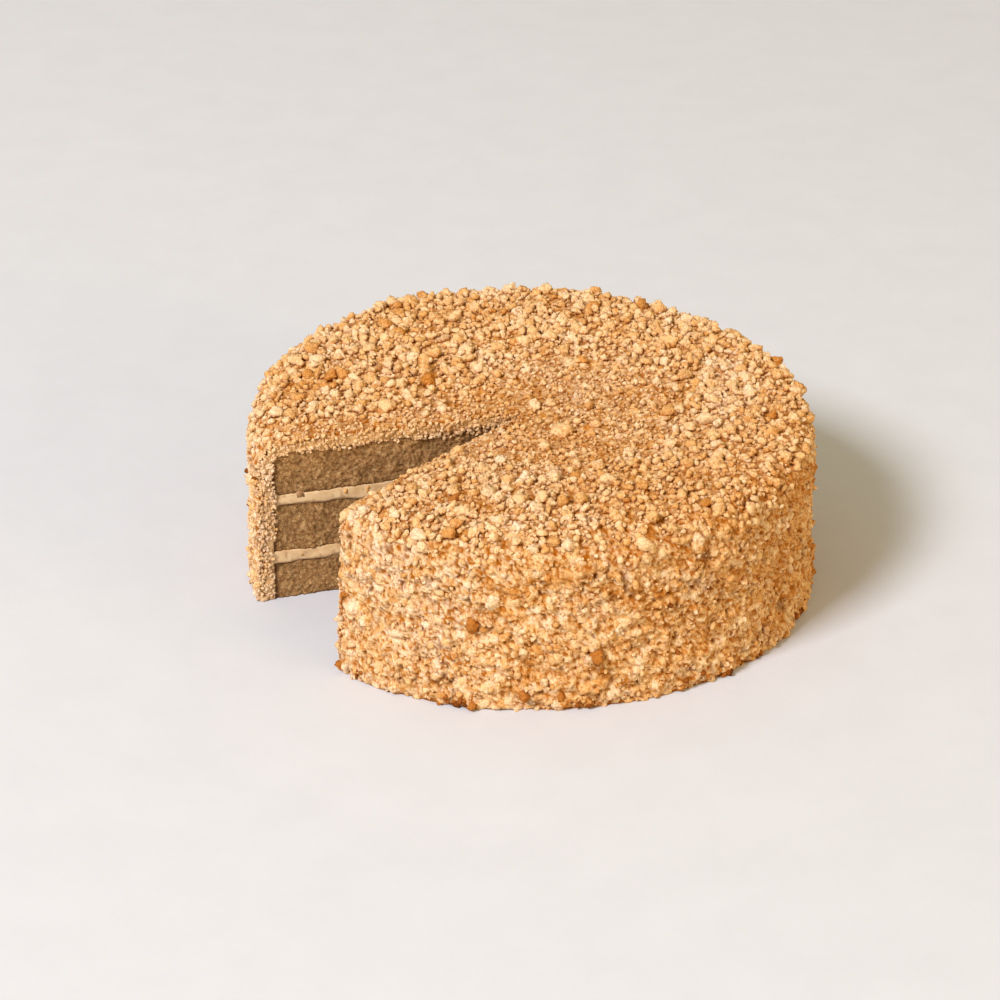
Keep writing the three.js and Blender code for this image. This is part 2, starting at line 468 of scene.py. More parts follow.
TOP_COLUMNS = int(math.radians(FAR_CUT - NEAR_CUT) * CORE_RADIUS / 0.88) // 32 * 32
INNER_RADIUS = FROSTING_RADIUS + CORE_INSET
INNER_HEIGHT = FROSTING_HEIGHT + CORE_INSET
MIDDLE_AZIMUTH = (NEAR_CUT + FAR_CUT) / 2  # where the two halves of the side meet, at the back
# A depth of 0.4 gives these faces some painted crease shade.
HIDDEN_VALUES = {"tone": 0.6, "depth": 0.4, "hollow": 0.0}  # of the inside and the cut strips of the core


def relief_rows(start, stop, step, first, last, columns):
    """Rows of relief between two distances along the outline and two azimuths.

    columns(radius) gives the steps of a row. Each row is its distances along the outline and its azimuths.
    """
    rows = []
    for along in np.linspace(start, stop, round((stop - start) / step) + 1):
        azimuth = np.linspace(first, last, columns(float(outline(along)[0])) + 1)
        rows.append((np.full(len(azimuth), along), azimuth))
    return rows


def relief_grid(rows):
    """The vertex numbers of each row, the vertices and their values."""
    ends = np.cumsum([len(row[0]) for row in rows])
    numbers = [np.arange(end - len(row[0]), end) for end, row in zip(ends, rows)]
    return numbers, *relief_vertices(*(np.concatenate(part) for part in zip(*rows)))


def relief_object(name, points, faces, values, material):
    """A closed piece of the core, whose last points lie hidden and take plain values."""
    hidden = len(points) - len(values["tone"])
    attributes = {
        key: np.pad(value, (0, hidden), constant_values=HIDDEN_VALUES[key]) for key, value in values.items()
    }
    return finished(new_object(name, points, faces, attributes, material))


def top_columns(radius):
    """Steps round a row of the top, halved each time that the radius about halves."""
    halvings = min(5, max(0, round(math.log2(CORE_RADIUS / radius))))
    return TOP_COLUMNS // 2**halvings


def core_top(material):
    rows = relief_rows(TOP_STEP, SPLIT, TOP_STEP, NEAR_CUT, FAR_CUT, top_columns)
    numbers, points, values = relief_grid(rows)
    axis_top, axis_low = len(points), len(points) + 1
    inner = len(points) + 2 + np.arange(len(rows[-1][1]))
    points = np.concatenate([
        points,
        [[0, 0, points[numbers[0], 2].mean()], [0, 0, INNER_HEIGHT]],
        polar(INNER_RADIUS - CORE_CHAMFER, INNER_HEIGHT, rows[-1][1]),
    ])
    faces = [[axis_top, *pair] for pair in zip(numbers[0][:-1].tolist(), numbers[0][1:].tolist())]
    for lower, upper in zip(numbers[:-1], numbers[1:]):
        faces += stitched_faces(lower, upper)
    faces += grid_faces(np.stack([numbers[-1], inner]))
    faces.append([axis_low, *inner.tolist()])
    for end in (0, -1):
        faces.append([axis_low, axis_top, *(int(row[end]) for row in numbers), int(inner[end])])
    return relief_object("crumb_core_top", points, faces, values, material)


def core_side(name, first, last, material):
    """The side of the core from one azimuth to another."""
    count = round(math.radians(last - first) * CORE_RADIUS / SIDE_STEP)
    rows = relief_rows(SPLIT - CORE_OVERLAP, OUTLINE_LENGTH, SIDE_STEP, first, last, lambda radius: count)
    numbers, points, values = relief_grid(rows)
    low_ring = len(points) + np.arange(count + 1)
    high_ring = low_ring + count + 1
    inside = [polar(INNER_RADIUS, height, rows[0][1]) for height in (0, INNER_HEIGHT - CORE_CHAMFER)]
    points = np.concatenate([points, *inside])
    faces = grid_faces(np.stack([*numbers, low_ring, high_ring, numbers[0]]))
    for end in (0, -1):
        faces.append([*(int(row[end]) for row in numbers), int(low_ring[end]), int(high_ring[end])])
    return relief_object(name, points, faces, values, material)


# ---- Loose crumbs ----

SHAPE_VARIETY = 28


class Crumbs(NamedTuple):
    """Crumbs of one kind: their centres, the directions out of the coat there, their widths and tones."""

    centre: np.ndarray
    normal: np.ndarray
    size: np.ndarray
    tone: np.ndarray


def merged(parts):
    """One set of crumbs from several."""
    return Crumbs(*(np.concatenate(values) for values in zip(*parts)))


def unit_ball(subdivisions):
    """The corners and triangles of an icosphere of radius 1."""
    shape = bmesh.new()
    bmesh.ops.create_icosphere(shape, subdivisions=subdivisions, radius=1)
    points = np.array([vertex.co for vertex in shape.verts])
    faces = np.array([[vertex.index for vertex in face.verts] for face in shape.faces])
    shape.free()
    return points, faces


def broken_shape(ball, lobes, breaks, rng):
    """A crumb of mean radius 1: some overlapping balls, broken off along a few planes.

    Also tells how deep each of its vertices lies in a crease, which sets its painted crease shade.
    """
    centres = rng.normal(size=(lobes, 3))
    centres *= rng.uniform(0.25, 0.55, (lobes, 1)) / np.linalg.norm(centres, axis=1, keepdims=True)
    radii = rng.uniform(0.45, 0.7, lobes)
    towards = ball @ centres.T
    reach = radii**2 - (centres**2).sum(1) + towards**2
    distance = np.where(reach > 0, towards + np.sqrt(np.maximum(reach, 0)), 0.3).max(axis=1)
    planes = rng.normal(size=(breaks, 3))
    planes /= np.linalg.norm(planes, axis=1, keepdims=True)
    broken = rng.uniform(0.5, 0.85, breaks) / np.maximum(ball @ planes.T, 0.05)
    distance = np.minimum(distance, broken.min(axis=1)) * rng.uniform(0.8, 1.18, len(ball))
    distance /= distance.mean()
    return ball * distance[:, None], unit((1.25 - distance) / 0.75)


def random_turns(count, rng):
    """Random rotation matrices."""
    return np.array([Quaternion(row).normalized().to_matrix() for row in rng.normal(size=(count, 4))])


def joined_crumbs(name, crumbs, detail, lobes, breaks, rng, material):
    """One mesh of many crumbs, each a randomly turned and stretched broken shape."""
    ball, triangles = unit_ball(detail)
    shapes = [broken_shape(ball, lobes, breaks, rng) for _ in range(SHAPE_VARIETY)]
    shape_points, shape_depths = (np.array(part) for part in zip(*shapes))
    count = len(crumbs.size)
    kind = rng.integers(0, SHAPE_VARIETY, count)
    radius = crumbs.size[:, None] / 2
    stretch = rng.uniform(0.7, 1.25, (count, 1, 3))
    turned = np.einsum("cij,cvj->cvi", random_turns(count, rng), shape_points[kind] * stretch)
    points = crumbs.centre[:, None] + turned * radius[:, None]
    points[:, :, 2] = np.maximum(points[:, :, 2], 0)
    under = -(turned * crumbs.normal[:, None]).sum(2) * radius
    # Painted shade: each crumb is darker in its creases and below its equator, towards the coat it lies on.
    depth = unit(0.4 * shape_depths[kind] + 0.8 * (under + 0.3))
    faces = (triangles + (np.arange(count) * len(ball))[:, None, None]).reshape(-1, 3)
    attributes = {"tone": np.repeat(crumbs.tone, len(ball)), "depth": depth.ravel()}
    return new_object(name, points.reshape(-1, 3), faces.tolist(), attributes, material, smooth=detail > 1)


def resting(along, azimuth, sizes, bury):
    """Centres of crumbs that lie on the relief, buried by a share of their size, and the normals there."""
    place, normal = on_coat(along, azimuth)
    height = coat_relief(place)[0]
    return place + normal * (height + sizes * (0.5 - bury))[:, None], normal


def loose_crumbs(spacing, chance, size_range, bury, rng):
    """Crumbs of one size class spread over the coat. chance(coarseness, side share) says how many stay."""
    along, azimuth = scattered(spacing, rng)
    place, _ = on_coat(along, azimuth)
    on_side, rough = side_share(place[:, 2]), coarseness(place)
    kept = rng.uniform(0, 1, len(along)) < chance(rough, on_side)
    sizes = rng.uniform(*size_range, kept.sum()) * (0.8 + 0.4 * rough[kept])
    buried = bury + 0.16 * on_side[kept]
    centre, normal = resting(along[kept], azimuth[kept], sizes, buried)
    variety = 0.6 + 0.15 * (sum(size_range) / 2 - 1.8)
    return Crumbs(centre, normal, sizes, crumb_tones(centre, rng, variety))


# ---- Layers with two cut walls ----


def out_of_wall(cut):
    """The direction from a cut wall into the gap."""
    return polar(1, 0, cut + 90 if cut == FAR_CUT else cut - 90)


def wall_points(u, height, cut, push):
    """Points of a cut wall. push moves them out of the wall, into the gap."""
    return polar(u, height, cut) + push[..., None] * out_of_wall(cut)


def cut_block(name, low, high, seed, relief, attributes, material):
    """A sector of a disc between two uneven faces, with detailed cut walls and plain hidden faces.

    low and high give the height of a face at points in plan, relief gives the push of a wall, and attributes
    the numbers for its material. u is the distance from the axis, and share goes from 0 at the low face to 1.
    """
    axis = np.zeros((1, 2))
    columns = round(SPONGE_RADIUS / WALL_STEP)
    rows = max(6, round((high(axis)[0] - low(axis)[0]) / WALL_STEP))
    steps = np.linspace(0, SPONGE_RADIUS, columns + 1), np.linspace(0, 1, rows + 1)
    u, share = np.meshgrid(*steps, indexing="ij")
    walls, values = [], []
    for cut in (NEAR_CUT, FAR_CUT):
        plan = polar(u[:, 0], 0, cut)[:, :2]
        bottom, top = low(plan)[:, None], high(plan)[:, None]
        height = bottom + (top - bottom) * share
        push = relief(u, height, cut, seed) * unit(u / AXIS_FADE)
        walls.append(wall_points(u, height, cut, push))
        values.append(attributes(u, height, share, cut, push, seed))
    near = np.arange(u.size).reshape(u.shape)
    far = near + u.size
    far[0] = near[0]  # the walls share the column on the axis
    plan = polar(SPONGE_RADIUS, 0, RIM_AZIMUTHS)[:, :2]
    rim_low = 2 * u.size + np.arange(len(plan))
    rim_high = rim_low + len(plan)
    points = np.concatenate([
        walls[0].reshape(-1, 3),
        walls[1].reshape(-1, 3),
        np.column_stack([plan, low(plan)]),
        np.column_stack([plan, high(plan)]),
    ])
    faces = grid_faces(near) + grid_faces(far)
    faces += grid_faces(np.stack([rim_low, rim_high]))
    faces.append([*near[-1].tolist(), int(rim_high[0]), int(rim_low[0])])
    faces.append([*far[-1].tolist(), int(rim_high[-1]), int(rim_low[-1])])
    faces.append([*near[:, 0].tolist(), *rim_low.tolist(), *far[:0:-1, 0].tolist()])
    faces.append([*near[:, -1].tolist(), *rim_high.tolist(), *far[:0:-1, -1].tolist()])
    named = {}
    for key in values[0]:
        wall_values = np.concatenate([value[key].ravel() for value in values])
        named[key] = np.pad(wall_values, (0, len(points) - len(wall_values)))
    return finished(new_object(name, points, faces, named, material), drop_loose_points)


def boundary(level, seed, amount):
    """The height of the face between two layers, at points in plan."""
    def height(plan):
        place = np.column_stack([plan, np.full(len(plan), 3.7 * seed)])
        broad = noise(place, 24, SEED + seed)
        small = layered_noise(place, 8, SEED + seed + 7)
        return level + amount * (broad + 1.2 * small)
    return height


def flat_face(level):
    return lambda plan: np.full(len(plan), float(level))


def layer_faces():
    """The low and the high face of each layer, as functions of the plan."""
    top = box_mm(LAYERS[-1])[1][2]
    pairs = zip(LAYERS[:-1], LAYERS[1:])
    levels = [(box_mm(lower)[1][2] + box_mm(upper)[0][2]) / 2 for lower, upper in pairs]
    shared = [boundary(level, 5 + index, 1.0) for index, level in enumerate(levels)]
    faces = [flat_face(0), *shared, boundary(top, 12, 0.3)]
    return dict(zip(LAYERS, zip(faces[:-1], faces[1:])))


PORE_KINDS = [  # spacing, range of radii, and sink as a share of the radius
    (1.15, (0.35, 0.75), 0.2),
    (3.0, (0.7, 1.3), 0.5),
    (9.0, (1.2, 2.2), 0.9),
]


def pores(u, height, cut, rng):
    """How deep the pores of the sponge are at each place of a wall."""
    place = polar(u, height, cut).reshape(-1, 3)
    area = u.max() * (height.max() - height.min())
    depth = np.zeros(len(place))
    for spacing, radius_range, sink in PORE_KINDS:
        count = int(area / spacing**2)
        across = rng.uniform(0, u.max(), count)
        up = rng.uniform(height.min(), height.max(), count)
        centres = polar(across, up, cut)
        radii = rng.uniform(*radius_range, count)
        warped = place + 0.35 * noise_vectors(place, 0.9, SEED + 31)
        found, _ = tallest(warped, centres, radii, radii * sink)
        depth = np.maximum(depth, np.maximum(found, 0))
    return depth.reshape(u.shape)


def sponge_relief(u, height, cut, seed):
    rng = np.random.default_rng(SEED + seed + int(cut))
    place = polar(u, height, cut)
    chunks = layered_noise(place, 5, SEED + seed)
    grain = noise(place, 0.8, SEED + seed + 4)
    return 0.6 * chunks + 0.22 * grain - 0.9 * pores(u, height, cut, rng) + 0.2


def sponge_values(u, height, share, cut, push, seed):
    """The browned crust along a sponge's borders, and the depth of its pores, which sets painted shade in
    them.
    """
    ragged = layered_noise(polar(u, height, cut), 3, SEED + seed + 9)
    span = height[:, -1:] - height[:, :1]
    from_top, from_low, from_rim = (1 - share) * span, share * span, SPONGE_RADIUS - u
    crust = np.maximum.reduce([
        unit(1.25 - from_top / (0.9 + 0.7 * ragged)),
        0.75 * unit(1.2 - from_low / (0.6 + 0.7 * ragged)),
        unit(1.2 - from_rim / (1.6 + 1.5 * ragged)),
    ])
    # The depth sets painted shade in the pores and the other low parts of the wall.
    return {"crust": crust, "depth": unit(0.35 - push / 1.4)}


def cream_relief(u, height, cut, seed):
    place = polar(u, height, cut)
    smear = noise(place * [1, 1, 3.0], 7, SEED + seed)
    fine = layered_noise(place * [1, 1, 2.5], 1.6, SEED + seed + 3, 2)
    return 0.35 + 0.3 * smear + 0.1 * fine


def cream_values(u, height, share, cut, push, seed):
    """Where a filling is stained by the sponges."""
    place = polar(u, height, cut)
    stain = layered_noise(place, 6, SEED + seed + 11)
    specks = np.clip(4 * noise(place, 1.3, SEED + seed + 15) - 2, 0, 0.9)
    edge = 1 - np.minimum(share, 1 - share) * 2
    return {"crust": unit(0.5 * stain + 0.6 * edge**3 + specks)}


# ---- Frosting ----

FROSTING_EDGE = 9.5  # rounding between top and side
FROSTING_STEP = 0.9  # between the points of its cut faces, along its outline
FROSTING_ACROSS = 5  # steps across a cut face
FROSTING_SKIP = 8  # its hidden shell has every eighth point of the outline


def frosting_outlines():
    """Matching points (radius, height) along the frosting's inside and outside, from its base to the axis."""
    radius, height, edge = INNER_RADIUS - 0.1, INNER_HEIGHT - 0.1, FROSTING_EDGE
    turn = np.linspace(0, math.pi / 2, 12)
    up = np.arange(0, height - edge, FROSTING_STEP)
    inwards = np.arange(radius - edge - FROSTING_STEP, 0, -FROSTING_STEP)
    outside = np.concatenate([
        np.column_stack([np.full(len(up), radius), up]),
        np.column_stack([radius - edge * (1 - np.cos(turn)), height - edge * (1 - np.sin(turn))]),
        np.column_stack([inwards, np.full(len(inwards), height)]),
    ])
    spare = (len(outside) - 1) % FROSTING_SKIP
    outside = outside[: len(outside) - spare]
    outside[-1, 0] = 0
    inside = np.minimum(outside, [SPONGE_RADIUS - 0.1, box_mm("sponge_top")[1][2] - 0.4])
    return inside, outside


def frosting_face(cut, inside, outside):
    """The points of a cut face of the frosting, in rows across it, with soft uneven borders."""
    share = np.linspace(0, 1, FROSTING_ACROSS + 1)[None, :, None]
    flat = inside[:, None] + (outside - inside)[:, None] * share
    radial, height = flat[..., 0], flat[..., 1]
    place = polar(radial, height, cut)
    sag = 0.7 * layered_noise(place, 5, SEED + 51, 2) * (1 - share[..., 0])
    height = np.where(inside[:, :1] > radial + 1, height, height + sag * (radial < SPONGE_RADIUS - 4))
    push = 0.3 + 0.4 * noise(place, 5, SEED + 52) + 0.12 * noise(place, 1.3, SEED + 53)
    return wall_points(radial, np.maximum(height, 0), cut, push)


def frosting_piece(material):
    """The thin shell of cream between the sponges and the crumbs, with soft uneven cut faces."""
    inside, outside = frosting_outlines()
    faces_of = [frosting_face(cut, inside, outside) for cut in (NEAR_CUT, FAR_CUT)]
    near = np.arange(faces_of[0][..., 0].size).reshape(faces_of[0].shape[:2])
    far = near + near.size
    shells = [
        np.concatenate([polar(radius, height, RIM_AZIMUTHS) for radius, height in line[::FROSTING_SKIP]])
        for line in (inside, outside)
    ]
    inner = 2 * near.size + np.arange(len(shells[0])).reshape(-1, len(RIM_AZIMUTHS))
    outer = inner + inner.size
    faces = grid_faces(near) + grid_faces(far)
    for shell, edge in ((inner, 0), (outer, -1)):
        faces += grid_faces(shell)
        for wall, end in ((near, 0), (far, -1)):
            faces += fan_faces(wall[:, edge], shell[:, end])
    faces.append([*near[0].tolist(), *outer[0].tolist(), *far[0, ::-1].tolist(), *inner[0, ::-1].tolist()])
    points = np.concatenate([*(face.reshape(-1, 3) for face in faces_of), *shells])
    stain = layered_noise(points, 6, SEED + 55)
    attributes = {"crust": unit(0.25 + 0.7 * stain)}
    return finished(new_object("frosting_shell", points, faces, attributes, material), merge_doubles)


def fan_faces(fine, coarse):
    """Faces between a fine row of vertices and a coarse one that has every FROSTING_SKIP-th of them."""
    return [
        [*fine[index * FROSTING_SKIP : (index + 1) * FROSTING_SKIP + 1].tolist(), int(high), int(low)]
        for index, (low, high) in enumerate(zip(coarse[:-1], coarse[1:]))
    ]


# ---- Crumbs on the cut strips ----

STRIP_SPACING = 1.1
STRIP_COUNT = 8  # crumbs at each step
NEAR_HANG = 5.6  # how far down each wall the crumbs of the top hang
FAR_HANG = 8.6
SIDE_HANG = 8.2  # and in from the side, where they cover the frosting
NEAR_TUCK = 1.1  # how much further into the cake those of the near wall lie


def strip_crumbs(rng):
    """Crumbs that cover the coat's cut strips and hang over into the gap."""
    parts = []
    for cut, hang, tuck in ((NEAR_CUT, NEAR_HANG, NEAR_TUCK), (FAR_CUT, FAR_HANG, 0)):
        along = np.repeat(np.arange(1.0, OUTLINE_LENGTH, STRIP_SPACING), STRIP_COUNT)
        along = np.clip(along + rng.uniform(-1, 1, len(along)), 0.5, OUTLINE_LENGTH - 1)
        place, normal = on_coat(along, np.full(len(along), cut))
        on_side = side_share(place[:, 2])
        kept = rng.uniform(0, 1, len(along)) < 0.72 + 0.28 * on_side
        place, normal, on_side = place[kept], normal[kept], on_side[kept]
        reach = hang + (SIDE_HANG - hang) * on_side
        reach *= 0.78 + 0.3 * layered_noise(place, 9, SEED + 41, 2)
        down = rng.uniform(-0.1, 1, len(place)) * reach
        size = rng.uniform(1.0, 2.4, len(place))
        out = out_of_wall(cut)
        pushed = rng.uniform(-0.3, 0.7, len(place)) - tuck
        centre = place - normal * down[:, None] + out * pushed[:, None]
        parts.append(Crumbs(centre, np.tile(out, (len(place), 1)), size, crumb_tones(centre, rng, 0.6)))
    return merged(parts)


# ---- Crumbs that stand out ----


def up_the_side(height):
    """The distance along the outline of a height on the side."""
    return OUTLINE_LENGTH - height


# Each is (distance along the outline, azimuth, size).
PALE_LUMPS = [
    (108, 178, 6.0),
    (104, 188, 6.6),
    (up_the_side(47.5), 262.5, 7.6),
    (up_the_side(32.5), 233.5, 6.4),
    (up_the_side(61), 242, 4.8),
    (87, 240, 5.6),
    (103, 249.5, 5.4),
    (104, 235, 6.2),
    (112, 240.5, 6.4),
    (112, 232.5, 4.6),
    (117.5, 232, 5.8),
]
BIG_LUMPS = [(25, 303, 7.2), (86, 165, 6.2)]
BROWNED_LUMPS = [
    (99, 101.5, 5.6),
    (117, 58.5, 6.6),
    (up_the_side(37.5), 258.5, 5.6),
    (up_the_side(25), 282.5, 6.2),
    (up_the_side(8.5), 269, 4.6),
    (up_the_side(6), 276, 4.2),
    (up_the_side(3), 231, 4.6),
    (up_the_side(36), 231, 3.4),
    (93, 250, 3.6),
]
BASE_CLUSTERS = 34  # of browned bits round the foot
BASE_BITS = 4  # in each
SIDE_BITS = 46  # single browned bits on the side


def placed_crumbs(places, tone, bury):
    """Crumbs at chosen places on the coat."""
    along, azimuth, sizes = (np.array(part, float) for part in zip(*places))
    centre, normal = resting(along, azimuth, sizes, bury)
    return Crumbs(centre, normal, sizes, np.full(len(sizes), tone))


def browned_bits(rng):
    """Small browned bits: clusters along the foot of the side, and single ones above."""
    cluster = np.repeat(rng.uniform(NEAR_CUT + 1, FAR_CUT - 1, BASE_CLUSTERS), BASE_BITS)
    azimuth = cluster + rng.normal(0, 1.3, len(cluster))
    height = 0.8 + np.abs(rng.normal(0, 2.2, len(cluster)))
    azimuth = np.append(azimuth, rng.uniform(NEAR_CUT, FAR_CUT, SIDE_BITS))
    along = up_the_side(np.append(height, rng.uniform(3, SIDE_LENGTH, SIDE_BITS)))
    sizes = rng.uniform(1.2, 2.9, len(along))
    centre, normal = resting(along, np.clip(azimuth, NEAR_CUT, FAR_CUT), sizes, 0.5)
    return Crumbs(centre, normal, sizes, rng.uniform(0.1, 1, len(along)))


# ---- Pieces in the fillings ----


def filling_pieces(spacing, size_range, lift_range, rng):
    """Pieces that lie in the upper border of each filling, on both walls."""
    faces = layer_faces()
    parts = []
    for node in ("cream_lower", "cream_upper"):
        for cut in (NEAR_CUT, FAR_CUT):
            u = np.arange(spacing / 2, SPONGE_RADIUS - spacing / 2, spacing)
            u += rng.uniform(-0.45, 0.45, len(u)) * spacing
            place = polar(u, 0, cut)
            place[:, 2] = faces[node][1](place[:, :2]) + rng.uniform(*lift_range, len(u))
            size = rng.uniform(*size_range, len(u))
            out = np.tile(out_of_wall(cut), (len(u), 1))
            centre = place + out * (0.7 - 0.5 * size)[:, None]
            parts.append(Crumbs(centre, out, size, rng.uniform(0, 1, len(u))))
    return merged(parts)


# ---- Materials ----


def linear(code):
    """A colour as Blender wants it, from its sRGB code."""
    parts = [int(code[i : i + 2], 16) / 255 for i in (0, 2, 4)]
    return (*(part / 12.92 if part <= 0.04045 else ((part + 0.055) / 1.055) ** 2.4 for part in parts), 1)


class Shader:
    """Builds one node-based material step by step."""

    def __init__(self, name, roughness, specular):
        self.material = bpy.data.materials.new(name)
        self.material.use_nodes = True
        self.tree = self.material.node_tree
        self.surface = self.tree.nodes["Principled BSDF"]
        self.surface.inputs["Roughness"].default_value = roughness
        self.surface.inputs["Specular IOR Level"].default_value = specular

    def node(self, kind, inputs, **settings):
        made = self.tree.nodes.new("ShaderNode" + kind)
        for key, value in settings.items():
            setattr(made, key, value)
        for key, value in inputs.items():
            if isinstance(value, bpy.types.NodeSocket):
                self.tree.links.new(value, made.inputs[key])
            else:
                made.inputs[key].default_value = value
        return made

    def attribute(self, name):
        return self.node("Attribute", {}, attribute_name=name).outputs["Fac"]

    def noise(self, scale_mm, detail=3.0):
        """Noise from 0 to 1 whose features are about this many millimetres wide."""
        where = self.node("TexCoord", {}).outputs["Object"]
        inputs = {"Vector": where, "Scale": 1 / (scale_mm * MM), "Detail": detail, "Roughness": 0.6}
        return self.node("TexNoise", inputs).outputs["Fac"]

    def grains(self, scale_mm):
        """Uneven grains about this wide: 0 in the middle of each, near 1 between them."""
        where = self.node("TexCoord", {}).outputs["Object"]
        scale = scale_mm * MM
        warp = self.node("TexNoise", {"Vector": where, "Scale": 0.8 / scale}).outputs["Color"]
        shift = self.node("VectorMath", {0: warp, 1: (0.6 * scale,) * 3}, operation="MULTIPLY").outputs[0]
        moved = self.node("VectorMath", {0: where, 1: shift}, operation="ADD").outputs[0]
        return self.node("TexVoronoi", {"Vector": moved, "Scale": 1 / scale}).outputs["Distance"]

    def maths(self, operation, first, second, clamped=True):
        return self.node("Math", {0: first, 1: second}, operation=operation, use_clamp=clamped).outputs[0]

    def above(self, level, gain, value, clamped=True):
        """How far a value is above a level, times a gain."""
        return self.maths("MULTIPLY", self.maths("SUBTRACT", value, level, clamped), gain, clamped)

    def ramp(self, factor, stops):
        """A colour ramp through (position, colour code) stops."""
        made = self.node("ValToRGB", {"Fac": factor})
        elements = made.color_ramp.elements
        while len(elements) < len(stops):
            elements.new(0.5)
        for element, (position, code) in zip(elements, stops):
            element.position = position
            element.color = linear(code)
        return made.outputs["Color"]

    def mix(self, factor, first, second):
        """A colour mix. Its colour sockets are the inputs 6 and 7 and the output 2."""
        return self.node("Mix", {0: factor, 6: first, 7: second}, data_type="RGBA").outputs[2]

    def colour(self, socket):
        self.tree.links.new(socket, self.surface.inputs["Base Color"])

    def bump(self, height, strength, distance_mm):
        inputs = {"Height": height, "Strength": strength, "Distance": distance_mm * MM}
        self.tree.links.new(self.node("Bump", inputs).outputs["Normal"], self.surface.inputs["Normal"])


GOLDEN = [(0.0, "FADBB5"), (0.3, "F4CE99"), (0.55, "E9B471"), (0.8, "CA8439"), (1.0, "905010")]
BROWNED = [(0.0, "D0893E"), (0.5, "A05C24"), (1.0, "643210")]


def crumb_material(name, tones):
    """Biscuit crumb: each crumb has its own tone, with painted shade in its creases, between its grains, and
    in the pits and cracks.
    """
    shader = Shader(name, roughness=0.9, specular=0.08)
    tone = shader.attribute("tone")
    for scale_mm, amount in ((2.4, 0.36), (1.1, 0.44), (0.5, 0.5)):
        uneven = shader.above(0.5, amount, shader.noise(scale_mm), clamped=False)
        tone = shader.maths("ADD", tone, uneven, clamped=False)
    # Painted shade: the depth mixes in a dark orange-brown in the creases and on the lower sides of the
    # crumbs.
    with_crease_shade = shader.mix(shader.attribute("depth"), shader.ramp(tone, tones), linear("A85E0C"))
    grain = shader.grains(1.1)
    clumped = shader.ramp(shader.noise(5.5), [(0.36, "686868"), (0.64, "DCDCDC")])
    # Painted shade between the grains, strong in clumps; the same grains also shape the bump.
    between = shader.above(0.42, 2.2, grain)
    with_grain_shade = shader.mix(shader.maths("MULTIPLY", between, clumped), with_crease_shade, linear("A0540A"))
    # Painted shade in the pits and cracks.
    hollow = shader.maths("MULTIPLY", shader.attribute("hollow"), 0.9)
    with_pit_shade = shader.mix(hollow, with_grain_shade, linear("6C3204"))
    specks = shader.above(0.59, 7.0, shader.noise(0.8))
    shader.colour(shader.mix(shader.maths("MULTIPLY", specks, 0.36), with_pit_shade, linear("9C5A14")))
    fine = shader.maths("MULTIPLY", shader.noise(0.5), 0.65)
    rounded = shader.maths("MULTIPLY", shader.maths("SUBTRACT", 1.0, grain), 0.35)
    shader.bump(shader.maths("ADD", fine, rounded), 1.0, 1.0)
    return shader.material


def smooth_material(name, dark, light, roughness):
    """A moist piece in a filling, whose colour varies from piece to piece."""
    shader = Shader(name, roughness, specular=0.4)
    shader.colour(shader.ramp(shader.attribute("tone"), [(0.0, dark), (1.0, light)]))
    shader.bump(shader.noise(1.2), 0.4, 0.3)
    return shader.material


def sponge_material():
    """Open caramel sponge, khaki brown with paler grains, with painted shade in its pores, and darker at its
    browned crust.
    """
    shader = Shader("caramel_sponge", roughness=0.9, specular=0.2)
    fine = shader.maths("MULTIPLY", shader.noise(0.7, 4.0), 0.6)
    coarse = shader.maths("MULTIPLY", shader.noise(2.2), 0.4)
    grain = shader.maths("ADD", fine, coarse)
    colour = shader.ramp(grain, [(0.36, "7E532D"), (0.5, "AC7E4B"), (0.64, "D8B27C")])
    # Painted shade in the pores.
    with_pore_shade = shader.mix(shader.maths("MULTIPLY", shader.attribute("depth"), 0.85), colour, linear("5A3D1B"))
    shader.colour(shader.mix(shader.attribute("crust"), with_pore_shade, linear("57321A")))
    shader.bump(shader.noise(0.5, 4.0), 0.8, 0.25)
    return shader.material


def cream_material(name, pale, stained):
    """Soft caramel cream with faint brown stains from the sponge."""
    shader = Shader(name, roughness=0.5, specular=0.4)
    blush = shader.ramp(shader.noise(5), [(0.3, pale), (0.75, stained)])
    stains = shader.maths("MULTIPLY", shader.attribute("crust"), 0.8)
    shader.colour(shader.mix(stains, blush, linear("B98C5C")))
    shader.bump(shader.noise(0.9), 0.25, 0.3)
    return shader.material


def floor_material():
    shader = Shader("pale_floor", roughness=0.85, specular=0.2)
    shader.colour(shader.ramp(shader.noise(30), [(0.3, "C8C8C9"), (0.7, "CBCBCC")]))
    return shader.material


# ---- Camera, lights and floor ----

CAMERA_ELEVATION = 28.2
CAMERA_DISTANCE = 1.307
CAMERA_LENS = 108.0
CAMERA_ROLL = 0.9  # degrees, with which the right side hangs lower
CAMERA_TARGET = Vector((-0.013, 0.0, 0.0308))
LIGHT_TARGET = Vector((0, 0, 0.04))
FLOOR_REACH = 6000.0


def add_camera():
    data = bpy.data.cameras.new("camera")
    data.lens = CAMERA_LENS
    data.sensor_width = 36.0
    data.clip_start, data.clip_end = 0.05, 20.0
    camera = bpy.data.objects.new("camera", data)
    bpy.context.scene.collection.objects.link(camera)
    tilt = math.radians(CAMERA_ELEVATION)
    back = Vector((0, -math.cos(tilt), math.sin(tilt)))
    camera.location = CAMERA_TARGET + back * CAMERA_DISTANCE
    roll = Quaternion(back, math.radians(CAMERA_ROLL))
    camera.rotation_euler = (roll @ (-back).to_track_quat("-Z", "Y")).to_euler()
    bpy.context.scene.camera = camera


